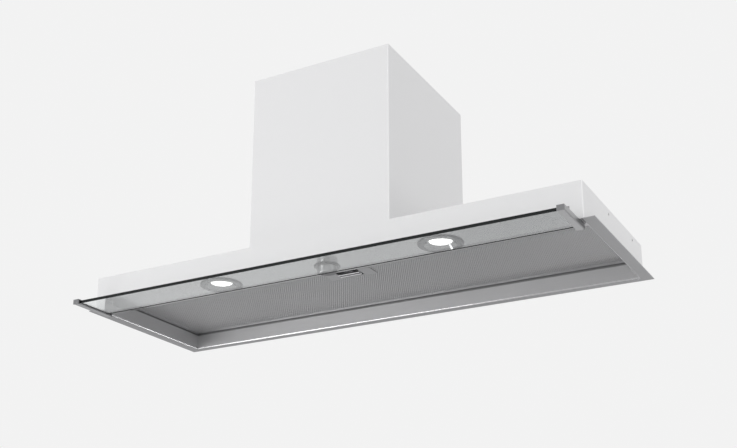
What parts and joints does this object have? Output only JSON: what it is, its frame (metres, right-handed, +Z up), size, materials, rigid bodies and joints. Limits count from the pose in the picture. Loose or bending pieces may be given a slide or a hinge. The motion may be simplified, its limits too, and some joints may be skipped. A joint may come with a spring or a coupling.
{
  "type": "built-in range hood",
  "caption": "Built-in range hood: a low canopy with a flange, a tall motor casing, a sliding glass visor, lamps, a push knob and a swing-down grease filter.",
  "frame": {"origin": "middle of the rear strip of the flange's upper face, which bears on the cabinet's underside", "axes": "+X to the viewer's right along the width, +Y to the rear, +Z up; the glass visor slides out towards -Y"},
  "size_m": [0.9, 0.361, 0.4034],
  "materials": {
    "shell": "satin light grey powder coat",
    "steel": "brushed along its length",
    "bright_metal": "satin",
    "bar_metal": "anodised, brushed",
    "filter_metal": "perforated and washed",
    "dark_plastic": "fine grain",
    "pale_plastic": "fine grain",
    "rubber": "matt",
    "board": "solder resist",
    "visor_glass": "clear float glass with polished edges",
    "lens": "frosted, lit from behind"
  },
  "bodies": {
    "hood": {"canopy_shell": "shell", "trim_frame": "steel", "lamp_plate": "steel", "plate_screws": "bright_metal", "motor_casing": "shell", "casing_lid": "shell", "casing_screws": "bright_metal", "outlet_collar": "dark_plastic", "collar_screws": "bright_metal", "damper_spindle": "bright_metal", "scroll_left": "pale_plastic", "scroll_right": "pale_plastic", "scroll_screws": "bright_metal", "motor_housing": "bright_metal", "motor_bearings": "steel", "motor_bracket": "steel", "bracket_grommets": "rubber", "bracket_screws": "bright_metal", "capacitor": "bright_metal", "capacitor_clip": "steel", "terminal_box": "dark_plastic", "terminal_lid": "dark_plastic", "terminal_strip": "pale_plastic", "cable_gland": "dark_plastic", "gland_nut": "dark_plastic", "lamp_bezel_left": "steel", "lamp_bezel_right": "steel", "lamp_lens_left": "lens", "lamp_lens_right": "lens", "lamp_body_left": "bright_metal", "lamp_body_right": "bright_metal", "lamp_clips": "bright_metal", "lamp_driver": "pale_plastic", "knob_ring": "steel", "encoder_body": "dark_plastic", "encoder_nut": "bright_metal", "control_board": "board", "board_spacers": "pale_plastic", "guide_shoes": "dark_plastic"},
    "visor": {"visor_glass": "visor_glass", "visor_bar_left": "bar_metal", "visor_bar_right": "bar_metal", "bar_caps": "dark_plastic"},
    "filter": {"filter_frame": "steel", "filter_skin": "filter_metal", "filter_mesh": "filter_metal", "filter_backing": "filter_metal", "filter_pins": "bright_metal", "latch_plate": "steel", "latch_channel": "steel", "latch_spring": "bright_metal"},
    "latch": {"latch_slider": "bright_metal"},
    "knob_plunger": {"encoder_plunger": "pale_plastic"},
    "knob": {"knob": "bright_metal", "knob_shaft": "steel"},
    "wheel": {"impeller": "dark_plastic", "motor_shaft": "bright_metal"},
    "flap_front": {"damper_flap_front": "dark_plastic"},
    "flap_rear": {"damper_flap_rear": "dark_plastic"}
  },
  "joints": [
    {"name": "visor_slide", "type": "slide", "parent": "hood", "child": "visor", "axis": [0, 1, 0], "range_m": [0, 0.057]},
    {"name": "filter_swing", "type": "hinge", "parent": "hood", "child": "filter", "pos_m": [0, -0.01775, 0.03205], "axis": [1, 0, 0], "range_deg": [0, 80]},
    {"name": "filter_latch", "type": "slide", "parent": "filter", "child": "latch", "axis": [0, 1, 0], "range_m": [0, 0.006], "stiffness_N_per_m": 500, "springref_m": -0.004, "deforming": ["latch_spring"]},
    {"name": "knob_press", "type": "slide", "parent": "hood", "child": "knob_plunger", "axis": [0, 0, 1], "range_m": [0, 0.0015], "stiffness_N_per_m": 1500, "springref_m": -0.001},
    {"name": "knob_turn", "type": "hinge", "parent": "knob_plunger", "child": "knob", "pos_m": [0, -0.2515, 0.014], "axis": [0, 0, 1], "continuous": true},
    {"name": "wheel_spin", "type": "hinge", "parent": "hood", "child": "wheel", "pos_m": [0, -0.16789, 0.20135], "axis": [1, 0, 0], "continuous": true},
    {"name": "damper_front", "type": "hinge", "parent": "hood", "child": "flap_front", "pos_m": [0, -0.0905, 0.378], "axis": [1, 0, 0], "range_deg": [-70, 0]},
    {"name": "damper_rear", "type": "hinge", "parent": "hood", "child": "flap_rear", "pos_m": [0, -0.0905, 0.378], "axis": [1, 0, 0], "range_deg": [0, 70]}
  ]
}
